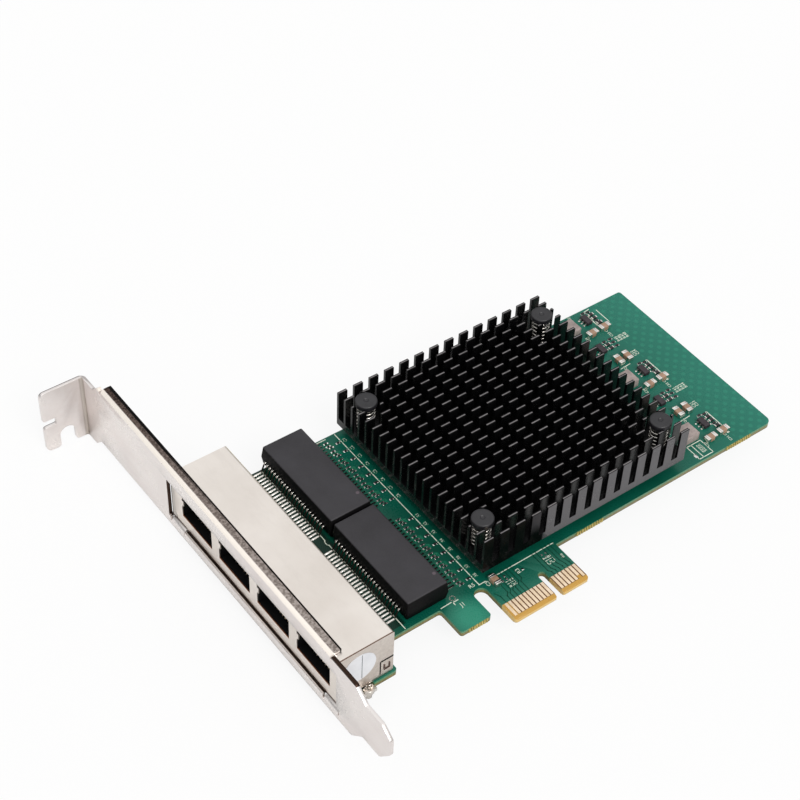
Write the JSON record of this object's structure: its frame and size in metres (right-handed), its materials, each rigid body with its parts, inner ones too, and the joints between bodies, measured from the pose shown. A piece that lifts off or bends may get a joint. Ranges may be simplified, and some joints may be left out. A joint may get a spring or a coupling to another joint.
{
  "type": "network interface card",
  "caption": "Expansion card with a row of network ports behind a folded bracket, a cross-cut heat sink and a gold edge connector.",
  "frame": {"origin": "where the bracket's outer face, the line of the contact tips and the board's component side meet", "axes": "+X from the bracket to the far end of the board, +Y from the edge contacts towards the bracket's screw tab, +Z out of the component side"},
  "size_m": [0.1422, 0.12, 0.0212],
  "materials": {
    "board": "glossy solder mask over laminate",
    "gold": "bright plated",
    "nickel_sheet": "satin nickel plate",
    "tinned_sheet": "satin tin plate",
    "screw_metal": "bright",
    "jack_plastic": "matt",
    "module_plastic": "matt moulded epoxy",
    "tin": "bright tin",
    "black_anodised": "glossy black anodised",
    "pin_plastic": "semi-matt",
    "spring_steel": "bright drawn wire",
    "chip_plastic": "matt",
    "pad_soft": "matt",
    "inductor_grey": "matt",
    "ceramic_tan": "satin",
    "resistor_black": "satin",
    "label_film": "satin film"
  },
  "bodies": {
    "root": {"circuit_board": "board", "edge_contacts_front": "gold", "edge_contacts_back": "gold", "bracket": "nickel_sheet", "bracket_screws": "screw_metal", "jack_shield": "tinned_sheet", "jack_housing": "jack_plastic", "port_wires": "gold", "transformer_modules": "module_plastic", "transformer_leads": "tin", "heat_sink": "black_anodised", "push_pins": "pin_plastic", "push_pin_springs": "spring_steel", "controller_chip": "chip_plastic", "thermal_pad": "pad_soft", "power_inductors": "inductor_grey", "inductor_terminals": "tin", "regulator_chips": "chip_plastic", "regulator_leads": "tin", "switch_chips": "chip_plastic", "switch_leads": "tin", "ceramic_capacitors": "ceramic_tan", "capacitor_ends": "tin", "chip_resistors": "resistor_black", "resistor_ends": "tin", "inspection_label": "label_film"}
  },
  "joints": []
}
